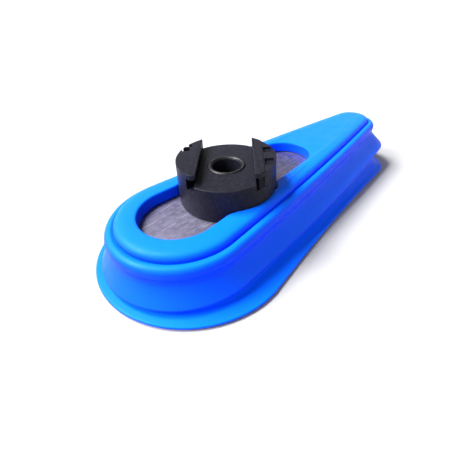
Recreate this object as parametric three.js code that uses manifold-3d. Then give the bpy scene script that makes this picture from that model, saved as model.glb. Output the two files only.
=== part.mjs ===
// Teardrop bellows suction cup with a quick-change coupling, in millimetres, +Z up.
// The sealing lip rests on z = 0, the narrow tip points to +X, and the origin is under the middle of the cup.
// The soft cup is one silicone moulding. Its collar grips a metal plate, and the coupling is screwed to that plate.
// The plate, the coupling and all that is on them stand a few degrees out of level, low over the wide end,
// because the coupling's weight closes the fold there. They form one turned group, the carrier.

import * as THREE from "three";
import { mergeVertices } from "three/addons/utils/BufferGeometryUtils.js";
import Module from "manifold-3d";

const wasm = await Module();
wasm.setup();

// ---------------------------------------------------------------- driving dimensions

// The carrier: height of the plate's top over the lip at x = 0, and its slope up towards the tip.
const PLATE_TOP = 20.2;
const TILT = THREE.MathUtils.degToRad(3);

// Four teardrop outlines: a wide arc and a tip arc, joined by sides that bow out by a little.
const LIP = { wideX: -51.2, wideR: 38.7, tipX: 64.4, tipR: 23.8, bow: -1.2 };
const FOLD = { wideX: -56.3, wideR: 32.2, tipX: 69.8, tipR: 19.5, bow: 1.6 };
const COLLAR = { wideX: -56.7, wideR: 25.1, tipX: 70, tipR: 9.7, bow: 1.25 };
const WINDOW = { wideX: -57.4, wideR: 16, tipX: 5, tipR: 12, bow: 0 };

const COLLAR_TOP = 4.9; // over the plate's top
const FOLD_EDGE = -11.9; // height of the skirt's widest edge, from the plate's top
const GAP = 0.3; // stands for each press or seal fit

const PLATE_THICK = 3;
const PLATE_INSET = 2.6; // plate edge inside the collar outline

const COUPLING_X = -32.7;
const COUPLING_R = 20;
const COUPLING_TURN = THREE.MathUtils.degToRad(-45);
const PLATFORM = 13.7; // height of the coupling's middle platform over the plate
const PLATFORM_HALF = 11.4;
const SLOT_FLOOR = 11.5;
const LUG_TOP = 18.1;
const LUG_FACE = 10.8; // each lug's inner face, from the axis
const HOOK_THICK = 2;
const LUG_WALL = 14.5; // inner face of the wall under each hook
const LUG_FRONT = -15.2;
const STOP_START = 9; // the slots are closed beyond this

const PORT_R = 5.75;
const PORT_SEAL = { midR: 6.9, wireR: 0.75, grooveR: [6.05, 7.75], grooveDepth: 1.3 };
const FOOT_SEAL = { midR: 17.1, wireR: 0.7, grooveR: [16.1, 18.1], grooveDepth: 1.3 };

const SCREW_CIRCLE = 12; // radius
const SCREW_COUNT = 4;
const SCREW = { shankR: 2, headR: 3.9, headHeight: 2.1, length: 8.5, socketR: 1.3, socketDepth: 1.3 };
const INSERT = { outerR: 3, boreR: 2.3, start: 0.6, length: 7.6, holeDepth: 9.2 };

// Points round each outline.
const WIDE_POINTS = 22;
const SIDE_POINTS = 12;
const TIP_POINTS = 12;

// ---------------------------------------------------------------- materials

const silicone = new THREE.MeshStandardMaterial({ color: 0x0b6cff, roughness: 0.55, metalness: 0 });
const plateMetal = new THREE.MeshStandardMaterial({ color: 0x8d8b90, roughness: 0.5, metalness: 0.9 });
const blackPlastic = new THREE.MeshStandardMaterial({ color: 0x1c1c22, roughness: 0.45, metalness: 0 });
const sealRubber = new THREE.MeshStandardMaterial({ color: 0x141416, roughness: 0.4, metalness: 0 });
const screwSteel = new THREE.MeshStandardMaterial({ color: 0x9a9a9e, roughness: 0.35, metalness: 1 });
const brass = new THREE.MeshStandardMaterial({ color: 0xb08d45, roughness: 0.35, metalness: 1 });

// ---------------------------------------------------------------- booleans

// A closed geometry, moved by a matrix, as a manifold-3d solid.
function solidOf(geometry, matrix = new THREE.Matrix4()) {
  const bare = geometry.clone().applyMatrix4(matrix);
  bare.deleteAttribute("normal");
  bare.deleteAttribute("uv");
  const merged = mergeVertices(bare, 1e-4);
  const mesh = new wasm.Mesh({
    numProp: 3,
    vertProperties: merged.attributes.position.array,
    triVerts: new Uint32Array(merged.index.array),
  });
  return new wasm.Manifold(mesh);
}

function geometryOf(solid) {
  const mesh = solid.getMesh();
  const geometry = new THREE.BufferGeometry();
  geometry.setAttribute("position", new THREE.BufferAttribute(mesh.vertProperties, 3));
  geometry.setIndex(new THREE.BufferAttribute(mesh.triVerts, 1));
  geometry.computeVertexNormals();
  return geometry;
}

// An upright body of revolution from a closed list of [radius, height] points, anticlockwise in the r-z plane.
function turned(profile, segments) {
  const points = [...profile, profile[0]].map(([r, z]) => new THREE.Vector2(r, z));
  const lathe = new THREE.LatheGeometry(points, segments);
  return lathe.rotateX(Math.PI / 2);
}

function rod(radius, low, high, segments = 32) {
  const cylinder = new THREE.CylinderGeometry(radius, radius, high - low, segments);
  return cylinder.rotateX(Math.PI / 2).translate(0, 0, (low + high) / 2);
}

function block(x0, x1, y0, y1, z0, z1) {
  const box = new THREE.BoxGeometry(x1 - x0, y1 - y0, z1 - z0);
  return box.translate((x0 + x1) / 2, (y0 + y1) / 2, (z0 + z1) / 2);
}

// ---------------------------------------------------------------- outlines

// The points of a teardrop outline, offset outwards, anticlockwise from the wide arc.
function outline(shape, offset = 0) {
  const wideR = shape.wideR + offset;
  const tipR = shape.tipR + offset;
  const lean = Math.acos((wideR - tipR) / (shape.tipX - shape.wideX));
  const points = [];
  const arc = (x, r, from, to, count) => {
    for (let i = 0; i <= count; i++) {
      const a = from + ((to - from) * i) / count;
      points.push(new THREE.Vector2(x + r * Math.cos(a), r * Math.sin(a)));
    }
  };
  const side = (a, start, end) => {
    const out = new THREE.Vector2(Math.cos(a), Math.sin(a));
    for (let i = 1; i < SIDE_POINTS; i++) {
      const t = i / SIDE_POINTS;
      const p = start.clone().lerp(end, t);
      points.push(p.addScaledVector(out, shape.bow * 4 * t * (1 - t)));
    }
  };
  const at = (x, r, a) => new THREE.Vector2(x + r * Math.cos(a), r * Math.sin(a));
  arc(shape.wideX, wideR, lean, 2 * Math.PI - lean, WIDE_POINTS);
  side(-lean, at(shape.wideX, wideR, -lean), at(shape.tipX, tipR, -lean));
  arc(shape.tipX, tipR, -lean, lean, TIP_POINTS);
  side(lean, at(shape.tipX, tipR, lean), at(shape.wideX, wideR, lean));
  return points;
}

function between(a, b, share) {
  return a.map((p, i) => p.clone().lerp(b[i], share));
}

// Moves the points that would lie inside the coupling out past its wall, by at least room.
function clearOfCoupling(points, room) {
  const centre = new THREE.Vector2(COUPLING_X, 0);
  const wall = COUPLING_R + room;
  return points.map((p) => {
    const out = p.clone().sub(centre);
    return out.length() < wall ? centre.clone().addScaledVector(out.normalize(), wall) : p;
  });
}

// ---------------------------------------------------------------- the soft cup

// One ring of the cup: its outline, its height over the plate's top as part of the carrier, and how far it
// belongs to the carrier: 1 follows the tilted plate, 0 lies level at height level over the sealing plane.
function ring(points, z, follow = 1, level = 0) {
  return points.map((p) => {
    const tilted = new THREE.Vector3(
      p.x * Math.cos(TILT) - z * Math.sin(TILT),
      p.y,
      PLATE_TOP + p.x * Math.sin(TILT) + z * Math.cos(TILT),
    );
    return new THREE.Vector3(p.x, p.y, level).lerp(tilted, follow);
  });
}

function cupRings() {
  const collar = (offset) => outline(COLLAR, offset);
  const windowEdge = (offset, room) => clearOfCoupling(outline(WINDOW, offset), room);
  const shoulder = (offset, room) => clearOfCoupling(collar(offset), room);
  const skirt = (share) => between(collar(2.6), outline(FOLD), share);
  const fold = (offset) => between(outline(LIP, offset), outline(FOLD, offset), 0.5);
  const groove = -PLATE_INSET + GAP;
  return [
    // window edge, flat top of the collar and its rounded shoulder
    ring(windowEdge(-0.7, 0.5), GAP),
    ring(windowEdge(-0.3, 0.5), COLLAR_TOP - 0.9),
    ring(windowEdge(0.7, 0.7), COLLAR_TOP),
    ring(shoulder(-4, 1), COLLAR_TOP),
    ring(shoulder(-2.5, 1.4), 4.5),
    ring(shoulder(-1.1, 1.8), 3.6),
    ring(shoulder(-0.3, 2.2), 2.7),
    // sharp groove, then the bead round the plate's edge
    ring(collar(0), 1.95),
    ring(collar(1.2), 1.9),
    ring(collar(2.5), 1.2),
    ring(collar(3.3), -0.4),
    ring(collar(3.1), -1.9),
    // skirt
    ring(skirt(0), -3.4),
    ring(skirt(0.08), -4.6),
    ring(skirt(0.45), -7.9),
    ring(skirt(0.85), -10.8),
    ring(skirt(1), FOLD_EDGE),
    ring(outline(FOLD, -0.7), FOLD_EDGE - 0.9),
    // outer notch of the fold, then the lip's top
    ring(fold(-5.4), FOLD_EDGE, 0.3, 1),
    ring(outline(LIP, -3), 0, 0, 1.6),
    ring(outline(LIP, -0.5), 0, 0, 1.25),
    ring(outline(LIP), 0, 0, 0.6),
    // flat sealing band, then the inside of the cup
    ring(outline(LIP, -0.6), 0, 0, 0),
    ring(outline(LIP, -3.4), 0, 0, 0),
    ring(fold(-7.4), FOLD_EDGE, 0.26, -0.1),
    ring(outline(FOLD, -2.5), FOLD_EDGE + 0.7, 0.97, 2.2),
    ring(collar(0.5), -5.8),
    // lower lip of the groove that holds the plate
    ring(collar(-6.6), -5.2),
    ring(collar(-6.6), -PLATE_THICK - GAP),
    ring(collar(groove), -PLATE_THICK - GAP),
    ring(collar(groove), GAP),
  ];
}

// A closed tube through all the rings, back to the first.
function bellows() {
  const rings = cupRings();
  const count = rings[0].length;
  const position = new Float32Array(rings.flat().flatMap((p) => [p.x, p.y, p.z]));
  const index = [];
  rings.forEach((_, r) => {
    const here = r * count;
    const next = ((r + 1) % rings.length) * count;
    for (let i = 0; i < count; i++) {
      const j = (i + 1) % count;
      index.push(here + i, next + j, here + j, here + i, next + i, next + j);
    }
  });
  const geometry = new THREE.BufferGeometry();
  geometry.setAttribute("position", new THREE.BufferAttribute(position, 3));
  geometry.setIndex(index);
  geometry.computeVertexNormals();
  return geometry;
}

// ---------------------------------------------------------------- the plate, in the carrier

function screwPlaces() {
  return Array.from({ length: SCREW_COUNT }, (_, i) => {
    const a = COUPLING_TURN + ((i + 0.5) * 2 * Math.PI) / SCREW_COUNT;
    return new THREE.Vector2(COUPLING_X + SCREW_CIRCLE * Math.cos(a), SCREW_CIRCLE * Math.sin(a));
  });
}

// The countersunk hole for one screw: a cone from the plate's underside and a clearance hole.
function screwCutter() {
  const low = -PLATE_THICK - 1;
  const headR = SCREW.headR + GAP;
  const shankR = SCREW.shankR + GAP;
  const headTop = -PLATE_THICK + SCREW.headHeight;
  return turned([[0, low], [headR, low], [headR, -PLATE_THICK], [shankR, headTop], [shankR, 1], [0, 1]], 24);
}

function supportPlate() {
  const sheet = new THREE.ExtrudeGeometry(new THREE.Shape(outline(COLLAR, -PLATE_INSET)), {
    depth: PLATE_THICK,
    bevelEnabled: false,
  });
  let plate = solidOf(sheet.translate(0, 0, -PLATE_THICK));
  const port = new THREE.Matrix4().makeTranslation(COUPLING_X, 0, 0);
  plate = plate.subtract(solidOf(rod(PORT_R, -PLATE_THICK - 1, 1), port));
  for (const place of screwPlaces()) {
    plate = plate.subtract(solidOf(screwCutter(), new THREE.Matrix4().makeTranslation(place.x, place.y, 0)));
  }
  return geometryOf(plate);
}

// ---------------------------------------------------------------- the coupling, about its own axis

// A slice of the coupling's round body, from x0 to x1, y0 to y1 and z0 to z1.
function slice(x0, x1, y0, y1, z0, z1) {
  return solidOf(rod(COUPLING_R, z0, z1, 64)).intersect(solidOf(block(x0, x1, y0, y1, z0 - 1, z1 + 1)));
}

// One hooked lug, on the +X side: a top plate over a slot that is open at the front and stopped at the back.
function lug() {
  const edge = COUPLING_R + 1;
  const hook = slice(LUG_FACE, edge, LUG_FRONT, edge, LUG_TOP - HOOK_THICK, LUG_TOP);
  const wall = slice(LUG_WALL, edge, LUG_FRONT, edge, SLOT_FLOOR - 0.5, LUG_TOP - HOOK_THICK + 0.5);
  const stop = slice(LUG_FACE, edge, STOP_START, edge, SLOT_FLOOR - 0.5, LUG_TOP - HOOK_THICK + 0.5);
  return hook.add(wall).add(stop);
}

function mirrored(solid) {
  return solid.mirror([1, 0, 0]);
}

// Shallow moulding pockets that leave ribs in the outer part of a lug's top.
function pockets() {
  const pocket = (y0, y1) => solidOf(block(LUG_WALL, COUPLING_R - 1.4, y0, y1, LUG_TOP - 1.6, LUG_TOP + 1));
  return pocket(2.2, 7.6).add(pocket(-8.6, -2.4));
}

function ringGroove(seal, low, high) {
  const [inner, outer] = seal.grooveR;
  return solidOf(turned([[inner, low], [outer, low], [outer, high], [inner, high]], 48));
}

function couplingBody() {
  const base = solidOf(
    turned([[0, GAP], [19.5, GAP], [COUPLING_R, 0.8], [COUPLING_R, SLOT_FLOOR], [0, SLOT_FLOOR]], 64),
  );
  const platform = slice(-PLATFORM_HALF, PLATFORM_HALF, -30, 30, SLOT_FLOOR - 0.5, PLATFORM);
  const lugs = lug().add(mirrored(lug())).subtract(pockets());
  let body = base.add(platform).add(lugs);
  body = body.subtract(solidOf(rod(PORT_R, -1, PLATFORM + 1)));
  body = body.subtract(ringGroove(PORT_SEAL, PLATFORM - PORT_SEAL.grooveDepth, PLATFORM + 1));
  body = body.subtract(ringGroove(FOOT_SEAL, -1, GAP + FOOT_SEAL.grooveDepth));
  for (let i = 0; i < SCREW_COUNT; i++) {
    const a = ((i + 0.5) * 2 * Math.PI) / SCREW_COUNT;
    const place = new THREE.Matrix4().makeTranslation(SCREW_CIRCLE * Math.cos(a), SCREW_CIRCLE * Math.sin(a), 0);
    body = body.subtract(solidOf(rod(INSERT.outerR + GAP, -1, INSERT.holeDepth, 24), place));
  }
  return geometryOf(body);
}

// ---------------------------------------------------------------- small pieces, each about its own axis

function sealRing(seal) {
  return new THREE.TorusGeometry(seal.midR, seal.wireR, 8, 40);
}

// A countersunk socket screw, head down, with its head's face level with the plate's underside.
function plateScrew() {
  const bottom = -PLATE_THICK;
  const rim = 0.3;
  const profile = [
    [0, bottom + SCREW.socketDepth],
    [SCREW.socketR, bottom + SCREW.socketDepth],
    [SCREW.socketR, bottom],
    [SCREW.headR, bottom],
    [SCREW.headR, bottom + rim],
    [SCREW.shankR, bottom + SCREW.headHeight],
    [SCREW.shankR, bottom + SCREW.length],
    [0, bottom + SCREW.length],
  ];
  return turned(profile, 24);
}

// A brass insert with one knurl step, blind in the coupling's foot.
function threadedInsert() {
  const low = INSERT.start;
  const high = low + INSERT.length;
  const waist = INSERT.outerR - 0.4;
  const profile = [
    [INSERT.boreR, low],
    [INSERT.outerR, low],
    [INSERT.outerR, low + 3],
    [waist, low + 3.4],
    [waist, low + 4.2],
    [INSERT.outerR, low + 4.6],
    [INSERT.outerR, high],
    [INSERT.boreR, high],
  ];
  return turned(profile, 24);
}

// ---------------------------------------------------------------- the assembly

function piece(name, geometry, material, x = 0, y = 0, z = 0) {
  const mesh = new THREE.Mesh(geometry, material);
  mesh.name = name;
  mesh.position.set(x, y, z);
  return mesh;
}

const carrier = new THREE.Group();
carrier.position.z = PLATE_TOP;
carrier.rotation.y = -TILT;
carrier.add(piece("support_plate", supportPlate(), plateMetal));

const coupling = new THREE.Group();
coupling.position.x = COUPLING_X;
coupling.rotation.z = COUPLING_TURN;
coupling.add(piece("coupling_body", couplingBody(), blackPlastic));
coupling.add(piece("port_seal", sealRing(PORT_SEAL), sealRubber, 0, 0, PLATFORM - 0.3));
coupling.add(piece("foot_seal", sealRing(FOOT_SEAL), sealRubber, 0, 0, GAP + 0.55));
carrier.add(coupling);

screwPlaces().forEach((place, i) => {
  carrier.add(piece(`plate_screw_${i + 1}`, plateScrew(), screwSteel, place.x, place.y));
  carrier.add(piece(`threaded_insert_${i + 1}`, threadedInsert(), brass, place.x, place.y));
});

const suctionCup = new THREE.Group();
suctionCup.name = "bellows_suction_cup";
suctionCup.add(piece("bellows", bellows(), silicone));
suctionCup.add(carrier);

export default suctionCup;
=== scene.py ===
"""Teardrop bellows suction cup with a quick-change coupling, detailed on its fixed frame.

Sizes and colours are scene settings. Each operator makes one piece or one group of like pieces.
The settings are in metres. Each shape is made in millimetres about its own axis, then settled into place.
"""

import math

import bmesh
import bpy
import numpy as np
from mathutils import Matrix, Vector


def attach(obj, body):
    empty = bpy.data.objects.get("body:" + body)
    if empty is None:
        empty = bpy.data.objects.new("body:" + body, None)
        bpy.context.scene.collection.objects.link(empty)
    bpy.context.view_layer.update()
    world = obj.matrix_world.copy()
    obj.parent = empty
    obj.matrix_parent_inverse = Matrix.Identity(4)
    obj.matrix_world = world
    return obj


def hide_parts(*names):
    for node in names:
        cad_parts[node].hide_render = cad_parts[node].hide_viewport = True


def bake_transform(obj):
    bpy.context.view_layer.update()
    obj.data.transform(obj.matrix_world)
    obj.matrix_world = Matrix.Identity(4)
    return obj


bl_info = {
    "name": "Bellows Suction Cup",
    "version": (1, 0, 0),
    "blender": (4, 5, 0),
    "location": "View3D > Sidebar > Suction Cup",
    "description": "Makes a teardrop bellows suction cup with a quick-change coupling",
    "category": "Object",
}

MM = 0.001

# Points closer than this, in millimetres, are one point.
SAME_POINT = 0.0005

# The least length that anything is divided by.
TINY = 1e-6

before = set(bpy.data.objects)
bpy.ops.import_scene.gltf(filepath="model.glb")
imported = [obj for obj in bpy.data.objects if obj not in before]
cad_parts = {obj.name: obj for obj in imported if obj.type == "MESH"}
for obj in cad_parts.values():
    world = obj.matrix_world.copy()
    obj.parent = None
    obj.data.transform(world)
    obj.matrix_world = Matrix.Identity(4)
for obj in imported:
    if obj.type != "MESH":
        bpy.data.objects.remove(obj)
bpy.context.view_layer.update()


# ---------------------------------------------------------------- settings


def length(name, description, millimetres):
    return bpy.props.FloatProperty(
        name=name, description=description, default=millimetres * MM, unit="LENGTH", precision=5
    )


def linear(hex_colour):
    """An sRGB hex colour as linear red, green and blue."""
    channels = (int(hex_colour[i : i + 2], 16) / 255 for i in (1, 3, 5))
    return tuple(c / 12.92 if c <= 0.04045 else ((c + 0.055) / 1.055) ** 2.4 for c in channels)


def colour(name, description, hex_colour):
    return bpy.props.FloatVectorProperty(
        name=name,
        description=description,
        default=linear(hex_colour),
        subtype="COLOR",
        size=3,
        min=0,
        max=1,
    )


class CupSizes(bpy.types.PropertyGroup):
    lip_wide_x: length("Lip Wide Centre", "Centre of the lip's wide arc along X", -51.2)
    lip_wide_r: length("Lip Wide Radius", "Radius of the lip's wide arc", 38.7)
    lip_tip_x: length("Lip Tip Centre", "Centre of the lip's tip arc along X", 64.4)
    lip_tip_r: length("Lip Tip Radius", "Radius of the lip's tip arc", 23.8)
    lip_bow: length("Lip Bow", "How far the lip's long sides bow out", -1.2)
    fold_wide_x: length("Fold Wide Centre", "Centre of the skirt edge's wide arc along X", -56.3)
    fold_wide_r: length("Fold Wide Radius", "Radius of the skirt edge's wide arc", 32.2)
    fold_tip_x: length("Fold Tip Centre", "Centre of the skirt edge's tip arc along X", 69.8)
    fold_tip_r: length("Fold Tip Radius", "Radius of the skirt edge's tip arc", 19.5)
    fold_bow: length("Fold Bow", "How far the skirt edge's long sides bow out", 1.6)
    collar_wide_x: length("Collar Wide Centre", "Centre of the collar's wide arc along X", -56.7)
    collar_wide_r: length("Collar Wide Radius", "Radius of the collar's wide arc", 25.1)
    collar_tip_x: length("Collar Tip Centre", "Centre of the collar's tip arc along X", 70.0)
    collar_tip_r: length("Collar Tip Radius", "Radius of the collar's tip arc", 9.7)
    collar_bow: length("Collar Bow", "How far the collar's long sides bow out", 1.25)
    window_wide_x: length("Window Wide Centre", "Centre of the window's wide arc along X", -57.4)
    window_wide_r: length("Window Wide Radius", "Radius of the window's wide arc", 16.0)
    window_tip_x: length("Window Tip Centre", "Centre of the window's tip arc along X", 5.0)
    window_tip_r: length("Window Tip Radius", "Radius of the window's tip arc", 12.0)
    window_bow: length("Window Bow", "How far the window's long sides bow out", 0.0)
    collar_top: length("Collar Top", "Height of the collar over the plate", 4.9)
    fold_edge: length("Fold Edge", "Height of the skirt's widest edge from the plate's top", -11.9)


class CarrierSizes(bpy.types.PropertyGroup):
    plate_top: length("Plate Top", "Height of the plate's top over the lip at the middle", 20.2)
    plate_thick: length("Plate Thickness", "Thickness of the metal plate", 3.0)
    tilt: bpy.props.FloatProperty(
        name="Tilt",
        description="Slope of the carrier up towards the tip",
        default=math.radians(3),
        subtype="ANGLE",
    )
    coupling_x: length("Coupling Centre", "The coupling's axis along X", -32.7)
    coupling_r: length("Coupling Radius", "Radius of the coupling", 20.0)
    coupling_turn: bpy.props.FloatProperty(
        name="Coupling Turn",
        description="Turn of the coupling about its own axis",
        default=math.radians(-45),
        subtype="ANGLE",
    )
    platform: length("Platform", "Height of the middle platform over the plate", 13.7)
    platform_half: length("Platform Half Width", "Half the width of the middle platform", 11.4)
    slot_floor: length("Slot Floor", "Height of the slots' floor over the plate", 11.5)
    lug_top: length("Lug Top", "Height of the lugs over the plate", 18.1)
    lug_face: length("Lug Face", "Each lug's inner face from the axis", 10.8)
    lug_wall: length("Lug Wall", "Inner face of the wall under each hook", 14.5)
    lug_front: length("Lug Front", "The lugs' front end across the axis", -15.2)
    stop_start: length("Stop Start", "Where the slots are closed at the back", 9.0)
    hook_thick: length("Hook Thickness", "Thickness of each hook", 2.0)
    port_r: length("Port Radius", "Radius of the vacuum port", 5.75)
    edge_round: length("Edge Rounding", "Rounding of the moulded edges", 0.35)


class FittingSizes(bpy.types.PropertyGroup):
    port_seal_r: length("Port Seal Radius", "Radius of the seal's ring round the port", 6.9)
    port_seal_wire: length("Port Seal Section", "Radius of the port seal's section", 0.75)
    foot_seal_r: length("Foot Seal Radius", "Radius of the seal's ring under the coupling", 17.1)
    foot_seal_wire: length("Foot Seal Section", "Radius of the foot seal's section", 0.7)
    screw_circle: length("Screw Circle", "Radius of the circle of screws", 12.0)
    screw_count: bpy.props.IntProperty(
        name="Screw Count", description="Screws in the circle", default=4, min=2
    )
    screw_head_r: length("Screw Head Radius", "Radius of the countersunk head", 3.9)
    screw_shank_r: length("Screw Shank Radius", "Radius of the shank", 2.0)
    screw_length: length("Screw Length", "Length of the screw", 8.5)
    socket_r: length("Socket Radius", "Radius of the hexagon socket", 1.3)
    insert_r: length("Insert Radius", "Outer radius of the threaded insert", 3.0)
    insert_bore_r: length("Insert Bore", "Inner radius of the threaded insert", 2.3)
    insert_length: length("Insert Length", "Length of the threaded insert", 7.6)


class Finishes(bpy.types.PropertyGroup):
    silicone: colour("Silicone", "Pigment of the soft cup", "#033cf2")
    silicone_pale: colour("Silicone Pale", "Where the pigment is thinner", "#0447f6")
    # Painted light: a paler azure laid on faces that look up, as if lit from above.
    silicone_painted_top_light: colour("Silicone Painted Top Light", "Faces that look up", "#0864fa")
    plate: colour("Plate", "Bare aluminium sheet", "#79768c")
    plate_dull: colour("Plate Dull", "Oxidised patches of the sheet", "#6a677b")
    nylon: colour("Nylon", "Glass-filled nylon of the coupling", "#13131b")
    nylon_fibre: colour("Nylon Fibre", "Where glass fibre reaches the surface", "#1e1e29")
    rubber: colour("Rubber", "Nitrile rubber of the seals", "#0c0c0e")
    zinc: colour("Zinc", "Zinc-plated steel of the screws", "#b9bcc2")
    brass: colour("Brass", "Turned brass of the inserts", "#c9a35a")
    floor: colour("Floor", "Matt floor", "#9f9fa1")


class SuctionCupSettings(bpy.types.PropertyGroup):
    cup: bpy.props.PointerProperty(type=CupSizes)
    carrier: bpy.props.PointerProperty(type=CarrierSizes)
    fittings: bpy.props.PointerProperty(type=FittingSizes)
    finishes: bpy.props.PointerProperty(type=Finishes)


# ---------------------------------------------------------------- places


def carrier_matrix(carrier):
    """The carrier's place in millimetres: over the middle of the cup and turned up towards the tip."""
    lift = Matrix.Translation((0, 0, carrier.plate_top / MM))
    return lift @ Matrix.Rotation(-carrier.tilt, 4, "Y")


def coupling_matrix(carrier):
    across = Matrix.Translation((carrier.coupling_x / MM, 0, 0))
    return carrier_matrix(carrier) @ across @ Matrix.Rotation(carrier.coupling_turn, 4, "Z")


# ---------------------------------------------------------------- meshes


def link_object(name, mesh):
    made = bpy.data.objects.new(name, mesh)
    bpy.context.scene.collection.objects.link(made)
    return made


def closed_object(name, points, faces):
    """A closed mesh in millimetres, with its doubles merged and its faces outwards."""
    body = bmesh.new()
    corners = [body.verts.new(p) for p in points]
    for face in faces:
        body.faces.new([corners[i] for i in face])
    bmesh.ops.remove_doubles(body, verts=body.verts, dist=SAME_POINT)
    bmesh.ops.dissolve_degenerate(body, edges=body.edges, dist=SAME_POINT)
    bmesh.ops.recalc_face_normals(body, faces=body.faces)
    mesh = bpy.data.meshes.new(name)
    body.to_mesh(mesh)
    body.free()
    return link_object(name, mesh)


def settle(made, place=Matrix.Identity(4)):
    """Moves a millimetre mesh to its place in millimetres, and scales it to metres."""
    made.data.transform(Matrix.Scale(MM, 4) @ place)
    return made


def smooth(made, sharp_degrees):
    made.data.shade_smooth()
    made.data.set_sharp_from_angle(angle=math.radians(sharp_degrees))


def plain_mesh(made):
    """Turns an object's modifiers into its own mesh."""
    bpy.context.view_layer.update()
    depsgraph = bpy.context.evaluated_depsgraph_get()
    result = bpy.data.meshes.new_from_object(made.evaluated_get(depsgraph))
    made.modifiers.clear()
    made.data = result


def cut_or_join(base, others, operation):
    """Joins other closed objects to base, or cuts them from it, and removes them."""
    for other in others:
        step = base.modifiers.new(operation, "BOOLEAN")
        step.operation = operation
        step.solver = "EXACT"
        step.object = other
    plain_mesh(base)
    for other in others:
        bpy.data.objects.remove(other)
    return base


def grid_faces(rows, columns, wrap_rows):
    """Quads between neighbouring rows of points. The columns always close on themselves."""
    faces = []
    for r in range(rows if wrap_rows else rows - 1):
        here = r * columns
        there = (r + 1) % rows * columns
        for i in range(columns):
            j = (i + 1) % columns
            faces.append((here + i, here + j, there + j, there + i))
    return faces


# Steps round each small rounded edge, and round a whole disc.
EDGE_STEPS = 4
DISC_STEPS = 160


def turned(name, profile, segments, shape=None):
    """A body of revolution from a list of (radius, height).

    The list closes on itself unless both its ends are on the axis. shape may change a radius by its angle.
    """
    points = []
    for radius, height in profile:
        for i in range(segments):
            angle = 2 * math.pi * i / segments
            r = shape(radius, angle) if shape else radius
            points.append((r * math.cos(angle), r * math.sin(angle), height))
    ends_on_axis = profile[0][0] == 0 and profile[-1][0] == 0
    return closed_object(name, points, grid_faces(len(profile), segments, not ends_on_axis))


def inset(points, distance):
    """A convex anticlockwise outline, moved inwards by distance."""
    moved = []
    for i, here in enumerate(points):
        before = (here - points[i - 1]).normalized()
        after = (points[(i + 1) % len(points)] - here).normalized()
        inward = Vector((-before.y - after.y, before.x + after.x))
        moved.append(here + inward * distance / (1 + before.dot(after)))
    return moved


def slab(name, outline, low, high, low_round, high_round):
    """An upright slab on a convex outline, with its lower and upper edges rounded."""
    levels = []
    for i in range(EDGE_STEPS + 1):
        angle = math.pi / 2 * i / EDGE_STEPS
        levels.append((low_round * (1 - math.sin(angle)), low + low_round * (1 - math.cos(angle))))
    for i in range(EDGE_STEPS + 1):
        angle = math.pi / 2 * i / EDGE_STEPS
        levels.append((high_round * (1 - math.cos(angle)), high - high_round * (1 - math.sin(angle))))
    points = []
    for distance, height in levels:
        points += [(p.x, p.y, height) for p in inset(outline, distance)]
    count = len(outline)
    faces = grid_faces(len(levels), count, False)
    faces.append(tuple(range(count))[::-1])
    faces.append(tuple(range(count * (len(levels) - 1), count * len(levels))))
    return closed_object(name, points, faces)


def clipped(points, axis, limit, keep_above):
    """The part of a convex outline on one side of a line across X (axis 0) or Y (axis 1)."""
    sign = 1 if keep_above else -1
    kept = []
    for i, here in enumerate(points):
        before = points[i - 1]
        side_before = sign * (before[axis] - limit)
        side_here = sign * (here[axis] - limit)
        if side_before * side_here < 0:
            kept.append(before.lerp(here, side_before / (side_before - side_here)))
        if side_here >= 0:
            kept.append(here.copy())
    return kept


def soft_corners(points, radius):
    """Rounds the corners of a convex outline. Small turns, as along an arc, are left as they are."""
    least_turn = math.radians(12)
    # Less than half of a side, so that its two rounded corners never meet.
    most = 0.49
    rounded = []
    for i, here in enumerate(points):
        before = points[i - 1]
        after = points[(i + 1) % len(points)]
        if (here - before).angle(after - here) < least_turn:
            rounded.append(here)
            continue
        start = here + (before - here).normalized() * min(radius, (before - here).length * most)
        end = here + (after - here).normalized() * min(radius, (after - here).length * most)
        for step in range(EDGE_STEPS + 1):
            t = step / EDGE_STEPS
            rounded.append(start * (1 - t) ** 2 + here * 2 * t * (1 - t) + end * t**2)
    return rounded


def disc(radius):
    turns = (2 * math.pi * i / DISC_STEPS for i in range(DISC_STEPS))
    return [Vector((radius * math.cos(a), radius * math.sin(a))) for a in turns]


def rectangle(x0, x1, y0, y1, radius):
    corners = [Vector((x0, y0)), Vector((x1, y0)), Vector((x1, y1)), Vector((x0, y1))]
    return soft_corners(corners, radius)


# ---------------------------------------------------------------- node trees


def add_node(tree, kind, inputs=None, **settings):
    """Adds a node. Each input is given a value, or another node's output to link to."""
    made = tree.nodes.new(kind)
    for name, value in settings.items():
        setattr(made, name, value)
    for key, value in (inputs or {}).items():
        if isinstance(value, bpy.types.NodeSocket):
            tree.links.new(value, made.inputs[key])
        else:
            made.inputs[key].default_value = value
    return made


def rgba(value):
    return (*value, 1.0)


# Socket numbers of a colour Mix node.
MIX_FACTOR, MIX_A, MIX_B, MIX_RESULT = 0, 6, 7, 2


def new_material(name, **constants):
    """A material with a Principled shader whose sockets hold the given constants."""
    material = bpy.data.materials.new(name)
    material.use_nodes = True
    tree = material.node_tree
    shader = tree.nodes["Principled BSDF"]
    for key, value in constants.items():
        shader.inputs[key.replace("_", " ")].default_value = value
    place = add_node(tree, "ShaderNodeTexCoord").outputs["Object"]
    return material, tree, shader, place


def noise(tree, place, size_mm, detail=3.0, stretch=(1, 1, 1), turn=(0, 0, 0)):
    """A noise whose features are about size_mm across. stretch makes them longer along an axis."""
    scale = tuple(1 / (size_mm * MM * s) for s in stretch)
    spread = add_node(tree, "ShaderNodeMapping", {"Vector": place, "Scale": scale, "Rotation": turn})
    return add_node(
        tree, "ShaderNodeTexNoise", {"Vector": spread.outputs[0], "Scale": 1.0, "Detail": detail}
    ).outputs[0]


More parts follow.
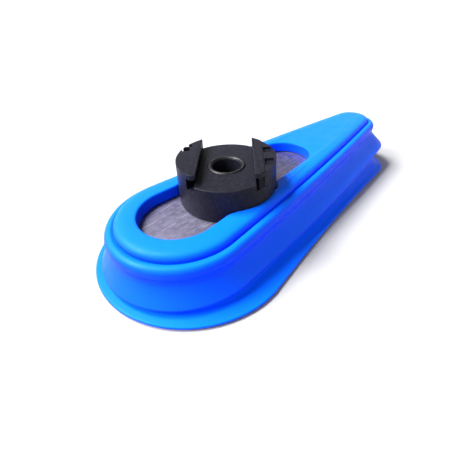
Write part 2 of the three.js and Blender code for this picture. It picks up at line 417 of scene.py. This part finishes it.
def between(tree, value, low, high, to_low, to_high):
    """Maps value from low..high to to_low..to_high, held at both ends."""
    return add_node(
        tree,
        "ShaderNodeMapRange",
        {"Value": value, "From Min": low, "From Max": high, "To Min": to_low, "To Max": to_high},
    ).outputs[0]


def mixed(tree, factor, first, second):
    made = add_node(
        tree, "ShaderNodeMix", {MIX_FACTOR: factor, MIX_A: first, MIX_B: second}, data_type="RGBA"
    )
    return made.outputs[MIX_RESULT]


def bumped(tree, shader, height, strength, depth_mm, under=None):
    inputs = {"Height": height, "Strength": strength, "Distance": depth_mm * MM}
    if under is not None:
        inputs["Normal"] = under
    result = add_node(tree, "ShaderNodeBump", inputs).outputs["Normal"]
    tree.links.new(result, shader.inputs["Normal"])
    return result


def moulded_silicone(finishes):
    """Moulded silicone rubber: even pigment, a soft satin sheen, light let a little way in, and painted
    light on faces that look up.
    """
    material, tree, shader, place = new_material(
        "moulded_silicone",
        IOR=1.41,
        Specular_IOR_Level=0.22,
        Specular_Tint=rgba(linear("#7ab8ff")),
        Subsurface_Weight=0.04,
        Subsurface_Scale=1.2 * MM,
        Subsurface_Radius=(0.1, 0.4, 1.0),
    )
    # Cloudy pigment, a few centimetres across.
    cloud = between(tree, noise(tree, place, 26, 2.0), 0.35, 0.65, 0.0, 0.55)
    body = mixed(tree, cloud, rgba(finishes.silicone), rgba(finishes.silicone_pale))
    # Painted light: faces that look up are given a paler blue, nearer azure, as if lit from above.
    normal = add_node(tree, "ShaderNodeNewGeometry").outputs["Normal"]
    upward = add_node(tree, "ShaderNodeSeparateXYZ", {0: normal}).outputs["Z"]
    painted_top_light_share = between(tree, upward, 0.25, 0.95, 0.0, 1.0)
    body = mixed(tree, painted_top_light_share, body, rgba(finishes.silicone_painted_top_light))
    tree.links.new(body, shader.inputs["Base Color"])
    # Handling leaves the sheen uneven over a few millimetres.
    sheen = between(tree, noise(tree, place, 5, 4.0), 0.3, 0.7, 0.34, 0.5)
    tree.links.new(sheen, shader.inputs["Roughness"])
    # The mould's texture, taken to be 0.1 mm grit, is drawn at 0.5 mm so that it shows.
    grain = bumped(tree, shader, noise(tree, place, 0.5, 2.0), 0.12, 0.05)
    # Long soft waves, as in a rubber wall that has shrunk in its mould.
    bumped(tree, shader, noise(tree, place, 9, 1.0), 0.25, 0.25, grain)
    return material


def bare_aluminium(finishes):
    """Tumbled aluminium sheet: dull grey, cloudy with oxide and crossed by fine handling scratches."""
    material, tree, shader, place = new_material("bare_aluminium", Metallic=1.0)
    patches = between(tree, noise(tree, place, 3.5, 6.0), 0.35, 0.68, 0.0, 0.7)
    body = mixed(tree, patches, rgba(finishes.plate), rgba(finishes.plate_dull))
    # Scratches a fraction of a millimetre wide and over a centimetre long, in two directions.
    # All are bright. The last set is also pressed in.
    for turn in (0.5, 2.1):
        raw = noise(tree, place, 0.3, 1.0, (60, 1, 60), (0, 0, turn))
        scratches = between(tree, raw, 0.66, 0.74, 0.0, 0.5)
        body = mixed(tree, scratches, body, rgba(linear("#dcdae4")))
    tree.links.new(body, shader.inputs["Base Color"])
    dull = between(tree, noise(tree, place, 2.2, 5.0), 0.3, 0.7, 0.44, 0.56)
    tree.links.new(dull, shader.inputs["Roughness"])
    grain = bumped(tree, shader, noise(tree, place, 0.7, 4.0), 0.06, 0.02)
    bumped(tree, shader, scratches, 0.1, -0.02, grain)
    return material


def glass_filled_nylon(finishes):
    """Glass-filled nylon from a spark-eroded mould: near black, with a fine even grain and a grey sheen."""
    material, tree, shader, place = new_material(
        "glass_filled_nylon", IOR=1.53, Specular_IOR_Level=0.08
    )
    fibre = between(tree, noise(tree, place, 1.4, 5.0), 0.42, 0.72, 0.0, 0.8)
    body = mixed(tree, fibre, rgba(finishes.nylon), rgba(finishes.nylon_fibre))
    tree.links.new(body, shader.inputs["Base Color"])
    sheen = between(tree, noise(tree, place, 2.4, 4.0), 0.3, 0.7, 0.36, 0.52)
    tree.links.new(sheen, shader.inputs["Roughness"])
    # Spark-eroded grain, taken to be 0.05 mm, is drawn at 0.35 mm so that it shows.
    bumped(tree, shader, noise(tree, place, 0.35, 2.0), 0.22, 0.05)
    return material


def nitrile_rubber(finishes):
    """Nitrile rubber: black, with a soft uneven sheen and a thin grey haze."""
    material, tree, shader, place = new_material("nitrile_rubber", IOR=1.52, Specular_IOR_Level=0.3)
    haze = between(tree, noise(tree, place, 1.0, 4.0), 0.45, 0.75, 0.0, 0.3)
    body = mixed(tree, haze, rgba(finishes.rubber), rgba(linear("#3a3a40")))
    tree.links.new(body, shader.inputs["Base Color"])
    sheen = between(tree, noise(tree, place, 1.8, 3.0), 0.3, 0.7, 0.36, 0.5)
    tree.links.new(sheen, shader.inputs["Roughness"])
    bumped(tree, shader, noise(tree, place, 0.6, 2.0), 0.1, 0.03)
    return material


def zinc_plated_steel(finishes):
    """Bright zinc plate on steel: silver with a faint cloudy bloom."""
    material, tree, shader, place = new_material("zinc_plated_steel", Metallic=1.0)
    bloom = between(tree, noise(tree, place, 1.6, 4.0), 0.4, 0.7, 0.0, 0.6)
    body = mixed(tree, bloom, rgba(finishes.zinc), rgba(linear("#8d9097")))
    tree.links.new(body, shader.inputs["Base Color"])
    tree.links.new(between(tree, bloom, 0, 1, 0.24, 0.42), shader.inputs["Roughness"])
    bumped(tree, shader, noise(tree, place, 0.4, 2.0), 0.15, 0.02)
    return material


def turned_brass(finishes):
    """Brass as it leaves the lathe: warm, with a light cloudy tarnish."""
    material, tree, shader, place = new_material("turned_brass", Metallic=1.0)
    tarnish = between(tree, noise(tree, place, 1.2, 4.0), 0.4, 0.7, 0.0, 0.7)
    body = mixed(tree, tarnish, rgba(finishes.brass), rgba(linear("#8a6b35")))
    tree.links.new(body, shader.inputs["Base Color"])
    tree.links.new(between(tree, tarnish, 0, 1, 0.26, 0.45), shader.inputs["Roughness"])
    bumped(tree, shader, noise(tree, place, 0.3, 2.0, (1, 1, 0.3)), 0.15, 0.02)
    return material


def matt_floor(finishes):
    """Matt studio board: even and pale, with a trace of paper tooth."""
    material, tree, shader, place = new_material("matt_floor", Roughness=0.9)
    tooth = between(tree, noise(tree, place, 300, 1.0), 0.3, 0.7, 0.0, 0.1)
    body = mixed(tree, tooth, rgba(finishes.floor), rgba(linear("#a8a8aa")))
    tree.links.new(body, shader.inputs["Base Color"])
    return material


# ---------------------------------------------------------------- the soft cup

# Steps round each stretch of an outline, and across each rounded corner of the section.
# A corner whose reach is no more than SHARP_REACH takes the smaller number.
WIDE_STEPS = 110
SIDE_STEPS = 44
TIP_STEPS = 44
ROUND_STEPS = 6
SHARP_STEPS = 3
SHARP_REACH = 0.4

# The gap left between pieces that fit together: plate and cup, coupling and plate, hole and insert.
FIT_GAP = 0.3


def teardrop(cup, name, offset=0.0):
    """One of the cup's outlines, offset outwards, as rows of x and y. Both arcs meet bowed sides."""
    wide_x, wide_r, tip_x, tip_r, bow = (
        getattr(cup, f"{name}_{part}") / MM for part in ("wide_x", "wide_r", "tip_x", "tip_r", "bow")
    )
    wide_r += offset
    tip_r += offset
    lean = math.acos((wide_r - tip_r) / (tip_x - wide_x))

    def arc(x, r, start, end, steps):
        angles = np.linspace(start, end, steps + 1)
        return np.stack([x + r * np.cos(angles), r * np.sin(angles)], axis=1)

    def side(start, end, angle):
        t = np.linspace(0, 1, SIDE_STEPS + 1)[1:-1, None]
        outwards = np.array([math.cos(angle), math.sin(angle)])
        return start + (end - start) * t + outwards * bow * 4 * t * (1 - t)

    wide = arc(wide_x, wide_r, lean, 2 * math.pi - lean, WIDE_STEPS)
    tip = arc(tip_x, tip_r, -lean, lean, TIP_STEPS)
    return np.concatenate([wide, side(wide[-1], tip[0], -lean), tip, side(tip[-1], wide[0], lean)])


def clear_of_coupling(carrier, points, room):
    """Moves points that would lie in the coupling out past its wall, by at least room."""
    centre = np.array([carrier.coupling_x / MM, 0.0])
    wall = carrier.coupling_r / MM + room
    out = points - centre
    reach = np.linalg.norm(out, axis=1, keepdims=True)
    return np.where(reach < wall, centre + out / np.maximum(reach, TINY) * wall, points)


def rounded_loop(rings):
    """A closed run of rings with each corner rounded over its own reach, as one stack of rings."""
    least_step = 1e-4
    rows = []
    for i, (here, reach) in enumerate(rings):
        ends = []
        for other in (rings[i - 1][0], rings[(i + 1) % len(rings)][0]):
            gap = np.linalg.norm(other - here, axis=1, keepdims=True)
            ends.append(here + (other - here) * np.minimum(0.5, reach / np.maximum(gap, TINY)))
        start, end = ends
        for t in np.linspace(0, 1, ROUND_STEPS if reach > SHARP_REACH else SHARP_STEPS):
            row = start * (1 - t) ** 2 + here * 2 * t * (1 - t) + end * t**2
            if not rows or np.abs(row - rows[-1]).max() > least_step:
                rows.append(row)
    return rows


def cup_rings(cup, carrier):
    """The cup's section, ring by ring, each with how far its corner is rounded.

    It runs from the window over the collar, bead and skirt, round the fold and lip, and back inside.
    """
    tilt = carrier.tilt
    plate_top = carrier.plate_top / MM
    plate_thick = carrier.plate_thick / MM
    top = cup.collar_top / MM
    edge = cup.fold_edge / MM

    def ring(points, z, follow=1.0, level=0.0):
        """follow 1 is part of the tilted carrier. follow 0 lies flat, at height level."""
        x, y = points[:, 0], points[:, 1]
        flat = np.stack([x, y, np.full_like(x, level)], axis=1)
        slope_x = x * math.cos(tilt) - z * math.sin(tilt)
        slope_z = plate_top + x * math.sin(tilt) + z * math.cos(tilt)
        return flat + (np.stack([slope_x, y, slope_z], axis=1) - flat) * follow

    def window(offset, room):
        return clear_of_coupling(carrier, teardrop(cup, "window", offset), room)

    def shoulder(offset, room):
        return clear_of_coupling(carrier, teardrop(cup, "collar", offset), room)

    def collar(offset):
        return teardrop(cup, "collar", offset)

    def skirt(share):
        return collar(2.6) * (1 - share) + teardrop(cup, "fold") * share

    def fold(offset):
        return (teardrop(cup, "lip", offset) + teardrop(cup, "fold", offset)) / 2

    def lip(offset):
        return teardrop(cup, "lip", offset)

    inside = plate_thick + FIT_GAP
    return [
        (ring(window(-0.75, 0.5), 0.3), 0.15),
        (ring(window(-0.75, 0.5), 0.7), 0.3),
        (ring(window(-0.25, 0.5), top - 0.5), 1.2),
        (ring(window(0.4, 0.6), top), 1.0),
        (ring(shoulder(-4.4, 1.0), top + 0.02), 2.0),
        (ring(shoulder(-1.3, 1.7), 4.5), 3.0),
        (ring(shoulder(-0.2, 2.2), 2.9), 3.0),
        (ring(collar(-0.35), 1.55), 0.25),
        (ring(collar(0.7), 2.2), 0.5),
        (ring(collar(2.5), 1.95), 1.2),
        (ring(collar(3.5), -0.1), 3.0),
        (ring(collar(3.15), -2.1), 3.0),
        (ring(skirt(0.0), -3.5), 3.0),
        (ring(skirt(0.09), -4.9), 3.0),
        (ring(skirt(0.45), -7.9), 3.0),
        (ring(skirt(0.84), -10.7), 3.0),
        (ring(skirt(1.0), edge + 0.1), 0.8),
        (ring(teardrop(cup, "fold", -0.75), edge - 0.95), 0.7),
        (ring(fold(-5.4), edge, 0.3, 1.0), 2.0),
        (ring(lip(-3.0), 0, 0, 1.65), 3.0),
        (ring(lip(-0.35), 0, 0, 1.3), 0.5),
        (ring(lip(0.05), 0, 0, 0.7), 0.5),
        (ring(lip(-0.6), 0, 0, 0.0), 0.5),
        (ring(lip(-3.4), 0, 0, 0.0), 1.0),
        (ring(fold(-7.4), edge, 0.26, -0.1), 2.0),
        (ring(teardrop(cup, "fold", -2.5), edge + 0.7, 0.97, 2.2), 1.5),
        (ring(collar(0.5), -5.8), 2.0),
        (ring(collar(-6.6), -5.2), 0.8),
        (ring(collar(-6.6), -inside), 0.5),
        (ring(collar(-2.3), -inside), 0.2),
        (ring(collar(-2.3), 0.3), 0.2),
    ]


class OBJECT_OT_suction_cup_soft(bpy.types.Operator):
    """Make the silicone cup: collar, bead, skirt, fold and sealing lip in one moulding"""

    bl_idname = "object.suction_cup_soft"
    bl_label = "Soft Cup"

    def execute(self, context):
        settings = context.scene.suction_cup
        cup = settings.cup
        carrier = settings.carrier
        rows = rounded_loop(cup_rings(cup, carrier))
        faces = grid_faces(len(rows), len(rows[0]), True)
        made = settle(closed_object("silicone_cup", np.concatenate(rows).tolist(), faces))
        smooth(made, sharp_degrees=50)
        made.data.materials.append(moulded_silicone(settings.finishes))
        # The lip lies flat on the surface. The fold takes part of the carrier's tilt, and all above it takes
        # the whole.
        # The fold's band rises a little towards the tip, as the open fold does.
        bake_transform(made)
        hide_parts("bellows")
        return {"FINISHED"}


# ---------------------------------------------------------------- the plate and the coupling


class OBJECT_OT_suction_cup_plate(bpy.types.Operator):
    """Give the metal plate its finish"""

    bl_idname = "object.suction_cup_plate"
    bl_label = "Metal Plate"

    def execute(self, context):
        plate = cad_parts["support_plate"]
        plate.material_slots[0].material = bare_aluminium(context.scene.suction_cup.finishes)
        return {"FINISHED"}


# How far the joined slabs reach into each other, and how far each rim stands inside the base's rim.
# The rims differ because surfaces that nearly coincide make the exact join fail.
JOIN_DEPTH = 0.6
PLATFORM_INSET = 0.02
LUG_INSET = 0.05

# Blind depth of the insert holes, depths of the two seal grooves, and the seals' clearance in them.
HOLE_DEPTH = 9.2
GROOVE_DEPTH = 1.3
GROOVE_CLEARANCE = 0.1

# How far the middles of the two seals lie from the platform and from the coupling's foot.
PORT_SEAL_DROP = 0.3
FOOT_SEAL_RISE = 0.55


def hooked_lug(carrier, side):
    """One lug with the slot under its hook: side is 1 on +X and -1 on -X. The slot is closed at the back."""
    radius = carrier.coupling_r / MM
    face = carrier.lug_face / MM
    wall = carrier.lug_wall / MM
    floor = carrier.slot_floor / MM
    high = carrier.lug_top / MM
    under = high - carrier.hook_thick / MM
    soft = carrier.edge_round / MM
    corner = 0.7
    slot_corner = 0.4
    slot_round = 0.2
    # The lug reaches deeper into the base than its slot. The cutter runs out past the two open sides.
    root = floor - JOIN_DEPTH
    slot_low = floor - JOIN_DEPTH / 2
    inner = face - 3
    front = carrier.lug_front / MM
    outline = clipped(disc(radius - LUG_INSET), 0, side * face, side > 0)
    outline = clipped(outline, 1, front, True)
    lug = slab("lug", soft_corners(outline, corner), root, high, 0, soft)
    x0, x1 = sorted((side * inner, side * wall))
    slot_outline = rectangle(x0, x1, front - 5, carrier.stop_start / MM, slot_corner)
    slot = slab("slot", slot_outline, slot_low, under, 0, slot_round)
    return cut_or_join(lug, [slot], "DIFFERENCE")


def lug_pockets(carrier):
    """Cutters for the shallow pockets in the outer part of each lug's top, and the step beside them."""
    high = carrier.lug_top / MM
    over = high + 2
    step_depth = 0.45
    pocket_depth = 1.5
    corner = 0.5
    floor_round = 0.2
    pockets = (
        # x from, x to, y from, y to, depth
        (14.4, 21.0, -16.5, 21.0, step_depth),
        (15.0, 18.8, 2.4, 7.4, pocket_depth),
        (15.0, 18.9, -8.4, -2.6, pocket_depth),
        (-18.6, -15.2, 5.2, 8.2, pocket_depth),
        (-17.4, -14.6, 9.2, 11.6, pocket_depth),
    )
    return [
        slab("pocket", rectangle(x0, x1, y0, y1, corner), high - depth, over, floor_round, 0)
        for x0, x1, y0, y1, depth in pockets
    ]


class OBJECT_OT_suction_cup_coupling(bpy.types.Operator):
    """Make the round coupling with its platform, two hooked lugs and vacuum port"""

    bl_idname = "object.suction_cup_coupling"
    bl_label = "Coupling"

    def execute(self, context):
        settings = context.scene.suction_cup
        carrier = settings.carrier
        fittings = settings.fittings
        radius = carrier.coupling_r / MM
        floor = carrier.slot_floor / MM
        platform = carrier.platform / MM
        soft = carrier.edge_round / MM
        half = carrier.platform_half / MM
        port = carrier.port_r / MM
        foot = FIT_GAP
        foot_round = 0.5
        made = slab("coupling", disc(radius), foot, floor, foot_round, 0)
        outline = clipped(clipped(disc(radius - PLATFORM_INSET), 0, -half, True), 0, half, False)
        middle = slab("middle", outline, floor - JOIN_DEPTH, platform, 0, soft)
        cut_or_join(made, [middle, hooked_lug(carrier, 1), hooked_lug(carrier, -1)], "UNION")
        # The port has a small lead-in, and a groove round it for its seal.
        # Each cutter runs out past the coupling's surface, so that no skin is left over it.
        lead = 0.25
        port_profile = [
            (0, -2),
            (port, -2),
            (port, platform - lead),
            (port + lead, platform + 0.01),
            (port + lead, platform + 6),
            (0, platform + 6),
        ]
        cutters = [turned("port", port_profile, segments=96)]
        port_groove = (platform - GROOVE_DEPTH, platform + 0.6)
        foot_groove = (-1.0, foot + GROOVE_DEPTH)
        for ring_r, wire_r, (low, high) in (
            (fittings.port_seal_r / MM, fittings.port_seal_wire / MM, port_groove),
            (fittings.foot_seal_r / MM, fittings.foot_seal_wire / MM, foot_groove),
        ):
            inner = ring_r - wire_r - GROOVE_CLEARANCE
            outer = ring_r + wire_r + GROOVE_CLEARANCE
            profile = [(inner, low), (outer, low), (outer, high), (inner, high)]
            cutters.append(turned("groove", profile, segments=96))
        for i in range(fittings.screw_count):
            angle = 2 * math.pi * (i + 0.5) / fittings.screw_count
            circle = fittings.screw_circle / MM
            hole = fittings.insert_r / MM + FIT_GAP
            hole_profile = [(0, -1), (hole, -1), (hole, HOLE_DEPTH), (0, HOLE_DEPTH)]
            cutter = turned("hole", hole_profile, segments=32)
            at = Vector((circle * math.cos(angle), circle * math.sin(angle), 0))
            cutter.data.transform(Matrix.Translation(at))
            cutters.append(cutter)
        cut_or_join(made, [*cutters, *lug_pockets(carrier)], "DIFFERENCE")
        settle(made, coupling_matrix(carrier))
        smooth(made, sharp_degrees=25)
        even = made.modifiers.new("even_flats", "WEIGHTED_NORMAL")
        even.keep_sharp = True
        plain_mesh(made)
        made.data.materials.clear()
        made.data.materials.append(glass_filled_nylon(settings.finishes))
        made.name = "coupling_moulding"
        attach(made, "carrier")
        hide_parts("coupling_body")
        return {"FINISHED"}


# ---------------------------------------------------------------- repeated parts


def set_inputs(modifier, values):
    """Gives a Geometry Nodes modifier its inputs by name, through each socket's identifier."""
    sockets = {
        item.name: item.identifier
        for item in modifier.node_group.interface.items_tree
        if item.item_type == "SOCKET" and item.in_out == "INPUT"
    }
    for name, value in values.items():
        modifier[sockets[name]] = value


def new_tree(name, inputs):
    """An empty Geometry Nodes tree with the given (name, socket type) inputs, and its two end nodes."""
    tree = bpy.data.node_groups.new(name, "GeometryNodeTree")
    tree.interface.new_socket("Geometry", in_out="OUTPUT", socket_type="NodeSocketGeometry")
    for label, kind in inputs:
        tree.interface.new_socket(label, in_out="INPUT", socket_type=kind)
    return tree, tree.nodes.new("NodeGroupInput"), tree.nodes.new("NodeGroupOutput")


def close_tree(tree, geometry, given, end):
    """Ends a tree with Transform, Realize Instances and Set Material."""
    moved = add_node(
        tree,
        "GeometryNodeTransform",
        {"Geometry": geometry, "Translation": given.outputs["Place"], "Rotation": given.outputs["Turn"]},
    )
    real = add_node(tree, "GeometryNodeRealizeInstances", {0: moved.outputs[0]})
    painted = add_node(
        tree, "GeometryNodeSetMaterial", {"Geometry": real.outputs[0], "Material": given.outputs["Material"]}
    )
    tree.links.new(painted.outputs[0], end.inputs[0])


# The inputs that each tree ends with.
ENDS = [("Place", "NodeSocketVector"), ("Turn", "NodeSocketRotation"), ("Material", "NodeSocketMaterial")]


def circle_tree():
    """Copies of one part on a circle."""
    inputs = [("Part", "NodeSocketObject"), ("Count", "NodeSocketInt"), ("Circle Radius", "NodeSocketFloat")]
    tree, given, end = new_tree("parts_on_circle", [*inputs, *ENDS])
    points = add_node(
        tree,
        "GeometryNodeMeshCircle",
        {"Vertices": given.outputs["Count"], "Radius": given.outputs["Circle Radius"]},
    )
    part = add_node(tree, "GeometryNodeObjectInfo", {"Object": given.outputs["Part"]})
    copies = add_node(
        tree,
        "GeometryNodeInstanceOnPoints",
        {"Points": points.outputs[0], "Instance": part.outputs["Geometry"]},
    )
    close_tree(tree, copies.outputs[0], given, end)
    return tree


def ring_tree():
    """A round ring of round section."""
    tree, given, end = new_tree(
        "seal_ring", [("Ring Radius", "NodeSocketFloat"), ("Section Radius", "NodeSocketFloat"), *ENDS]
    )
    path = add_node(
        tree, "GeometryNodeCurvePrimitiveCircle", {"Resolution": 96, "Radius": given.outputs["Ring Radius"]}
    )
    section = add_node(
        tree,
        "GeometryNodeCurvePrimitiveCircle",
        {"Resolution": 20, "Radius": given.outputs["Section Radius"]},
    )
    swept = add_node(
        tree, "GeometryNodeCurveToMesh", {"Curve": path.outputs[0], "Profile Curve": section.outputs[0]}
    )
    soft = add_node(tree, "GeometryNodeSetShadeSmooth", {"Geometry": swept.outputs[0]})
    close_tree(tree, soft.outputs[0], given, end)
    return tree


def made_by_tree(name, tree, values, material, place):
    """A plain mesh on the carrier, made by a Geometry Nodes tree."""
    made = link_object(name, bpy.data.meshes.new(name))
    modifier = made.modifiers.new("make", "NODES")
    modifier.node_group = tree
    turn = place.to_euler()
    values = dict(values, Place=tuple(place.translation * MM), Turn=tuple(turn), Material=material)
    set_inputs(modifier, values)
    plain_mesh(made)
    body = bmesh.new()
    body.from_mesh(made.data)
    bmesh.ops.remove_doubles(body, verts=body.verts, dist=SAME_POINT * MM)
    bmesh.ops.recalc_face_normals(body, faces=body.faces)
    body.to_mesh(made.data)
    body.free()
    if len(made.data.polygons) == 0:
        raise RuntimeError(f"{name}: its tree made no faces")
    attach(made, "carrier")
    return made


class OBJECT_OT_suction_cup_seals(bpy.types.Operator):
    """Make the rubber seals round the port and under the coupling"""

    bl_idname = "object.suction_cup_seals"
    bl_label = "Seals"

    def execute(self, context):
        settings = context.scene.suction_cup
        fittings = settings.fittings
        place = coupling_matrix(settings.carrier)
        rubber = nitrile_rubber(settings.finishes)
        tree = ring_tree()
        platform = settings.carrier.platform / MM
        port_sizes = (fittings.port_seal_r, fittings.port_seal_wire, platform - PORT_SEAL_DROP)
        foot_sizes = (fittings.foot_seal_r, fittings.foot_seal_wire, FIT_GAP + FOOT_SEAL_RISE)
        for name, node, (ring_r, wire_r, height) in (
            ("port_seal_ring", "port_seal", port_sizes),
            ("foot_seal_ring", "foot_seal", foot_sizes),
        ):
            values = {"Ring Radius": ring_r, "Section Radius": wire_r}
            at = place @ Matrix.Translation((0, 0, height))
            made = made_by_tree(name, tree, values, rubber, at)
            smooth(made, sharp_degrees=60)
            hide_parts(node)
        return {"FINISHED"}


def screw_part(carrier, fittings):
    """One countersunk screw, head down, with a hexagon socket."""
    bottom = -carrier.plate_thick / MM
    head = fittings.screw_head_r / MM
    shank = fittings.screw_shank_r / MM
    socket = fittings.socket_r / MM
    top = bottom + fittings.screw_length / MM
    socket_top = bottom + 1.3
    drill_point = 0.2
    chamfer = 0.12
    rim = 0.35
    cone_end = bottom + 2.0

    def hexagon(radius, angle):
        """Flattens the socket's walls. The screw's axis and all outside the socket stay round."""
        if radius > socket or radius == 0:
            return radius
        side = angle % (math.pi / 3) - math.pi / 6
        return radius * math.cos(math.pi / 6) / math.cos(side)

    profile = [
        (0, socket_top + drill_point),
        (socket, socket_top),
        (socket, bottom + 0.1),
        (socket + chamfer, bottom),
        (head - chamfer, bottom),
        (head, bottom + chamfer),
        (head, bottom + rim),
        (shank + 0.15, cone_end),
        (shank, cone_end + 0.2),
    ]
    # Thread crests, at the coarse pitch of a 4 mm screw.
    pitch = 0.7
    thread_depth = 0.2
    height = bottom + 3.2
    thread_end = top - 0.6
    while height < thread_end:
        profile += [(shank - thread_depth, height), (shank, height + pitch / 2)]
        height += pitch
    profile += [(shank - 0.25, top), (0, top)]
    return settle(turned("screw", profile, segments=36, shape=hexagon))


def insert_part(fittings):
    """One knurled threaded insert."""
    outer = fittings.insert_r / MM
    bore = fittings.insert_bore_r / MM
    low = 0.6
    high = low + fittings.insert_length / MM
    chamfer = 0.2
    waist = outer - 0.4
    ridges = 18
    ridge_depth = 0.12

    def knurled(radius, angle):
        """Ridges on the two outermost bands only."""
        if radius < outer:
            return radius
        return radius - ridge_depth * (1 - math.cos(ridges * angle))

    profile = [
        (bore, low),
        (outer - chamfer, low),
        (outer, low + chamfer),
        (outer, low + 3.0),
        (waist, low + 3.4),
        (waist, low + 4.2),
        (outer, low + 4.6),
        (outer, high - chamfer),
        (outer - chamfer, high),
        (bore, high),
    ]
    return settle(turned("insert", profile, segments=72, shape=knurled))


class OBJECT_OT_suction_cup_screws(bpy.types.Operator):
    """Make the circle of screws under the plate and their threaded inserts"""

    bl_idname = "object.suction_cup_screws"
    bl_label = "Screws and Inserts"

    def execute(self, context):
        settings = context.scene.suction_cup
        fittings = settings.fittings
        count = fittings.screw_count
        half_step = Matrix.Rotation(math.pi / count, 4, "Z")
        place = coupling_matrix(settings.carrier) @ half_step
        tree = circle_tree()
        for name, node, slot, part, material in (
            (
                "plate_screws",
                "plate_screw",
                "screw",
                screw_part(settings.carrier, fittings),
                zinc_plated_steel(settings.finishes),
            ),
            (
                "threaded_inserts",
                "threaded_insert",
                "insert",
                insert_part(fittings),
                turned_brass(settings.finishes),
            ),
        ):
            values = {"Part": part, "Count": count, "Circle Radius": fittings.screw_circle}
            made = made_by_tree(name, tree, values, material, place)
            bpy.data.objects.remove(part)
            smooth(made, sharp_degrees=30)
            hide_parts(*[f"{node}_{i + 1}" for i in range(count)])
        return {"FINISHED"}


# ---------------------------------------------------------------- the stage


class OBJECT_OT_suction_cup_stage(bpy.types.Operator):
    """Make the floor, the lights and the camera"""

    bl_idname = "object.suction_cup_stage"
    bl_label = "Stage"

    def execute(self, context):
        scene = context.scene
        finishes = scene.suction_cup.finishes
        reach = 20.0
        below = -0.3 * MM
        corners = [(-reach, -reach), (reach, -reach), (reach, reach), (-reach, reach)]
        mesh = bpy.data.meshes.new("floor")
        mesh.from_pydata([(x, y, below) for x, y in corners], [], [(0, 1, 2, 3)])
        floor = link_object("floor", mesh)
        mesh.materials.append(matt_floor(finishes))

        world = bpy.data.worlds.new("studio")
        scene.world = world
        world.use_nodes = True
        sky = world.node_tree.nodes["Background"]
        sky.inputs["Color"].default_value = (1, 1, 1, 1)
        # The sky is white at the horizon, and dims overhead so that the lamps shape the object.
        look = add_node(world.node_tree, "ShaderNodeTexCoord").outputs["Generated"]
        height = add_node(world.node_tree, "ShaderNodeSeparateXYZ", {0: look}).outputs["Z"]
        glow = between(world.node_tree, height, 0.3, 0.6, 1.0, 0.15)
        world.node_tree.links.new(glow, sky.inputs["Strength"])

        # Each lamp: its name, the way to it, its strength and how wide it looks, in degrees.
        lights = (
            ("key", (-0.85, 0.42, 0.75), 5.5, 24),
            ("overhead", (-0.35, 0.6, 1.0), 7.2, 24),
            ("fill", (-0.9, -0.5, 0.5), 0.8, 60),
        )
        for name, direction, strength, width in lights:
            data = bpy.data.lights.new(name, "SUN")
            data.energy = strength
            data.angle = math.radians(width)
            light = bpy.data.objects.new(name, data)
            light.rotation_mode = "QUATERNION"
            light.rotation_quaternion = Vector(direction).to_track_quat("Z", "Y")
            scene.collection.objects.link(light)

        azimuth = math.radians(-45.08)
        elevation = math.radians(27.01)
        target = Vector((-12.46, 14.60, 18)) * MM
        distance = 165.4 * MM
        back = Vector(
            (
                math.sin(azimuth) * math.cos(elevation),
                -math.cos(azimuth) * math.cos(elevation),
                math.sin(elevation),
            )
        )
        data = bpy.data.cameras.new("camera")
        data.sensor_width = 36
        data.lens = 25.71
        data.shift_y = -0.146
        data.clip_start = 0.01
        data.clip_end = 100
        camera = bpy.data.objects.new("camera", data)
        camera.location = target + back * distance
        camera.rotation_mode = "QUATERNION"
        camera.rotation_quaternion = (-back).to_track_quat("-Z", "Y")
        scene.collection.objects.link(camera)
        scene.camera = camera
        scene.view_settings.view_transform = "Standard"
        return {"FINISHED"}


# ---------------------------------------------------------------- the panel

OPERATORS = (
    OBJECT_OT_suction_cup_stage,
    OBJECT_OT_suction_cup_soft,
    OBJECT_OT_suction_cup_plate,
    OBJECT_OT_suction_cup_coupling,
    OBJECT_OT_suction_cup_seals,
    OBJECT_OT_suction_cup_screws,
)


class VIEW3D_PT_suction_cup(bpy.types.Panel):
    """The suction cup's makers and settings"""

    bl_idname = "VIEW3D_PT_suction_cup"
    bl_label = "Suction Cup"
    bl_space_type = "VIEW_3D"
    bl_region_type = "UI"
    bl_category = "Suction Cup"

    def draw(self, context):
        settings = context.scene.suction_cup
        for operator in OPERATORS:
            self.layout.operator(operator.bl_idname)
        for group in (settings.cup, settings.carrier, settings.fittings, settings.finishes):
            box = self.layout.box()
            for name in group.__annotations__:
                box.prop(group, name)


CLASSES = (
    CupSizes,
    CarrierSizes,
    FittingSizes,
    Finishes,
    SuctionCupSettings,
    *OPERATORS,
    VIEW3D_PT_suction_cup,
)


def register():
    for item in CLASSES:
        bpy.utils.register_class(item)
    bpy.types.Scene.suction_cup = bpy.props.PointerProperty(type=SuctionCupSettings)


def unregister():
    del bpy.types.Scene.suction_cup
    for item in reversed(CLASSES):
        bpy.utils.unregister_class(item)


def main():
    register()
    bpy.ops.object.suction_cup_stage()
    bpy.ops.object.suction_cup_soft()
    bpy.ops.object.suction_cup_plate()
    bpy.ops.object.suction_cup_coupling()
    bpy.ops.object.suction_cup_seals()
    bpy.ops.object.suction_cup_screws()


if __name__ == "__main__":
    main()
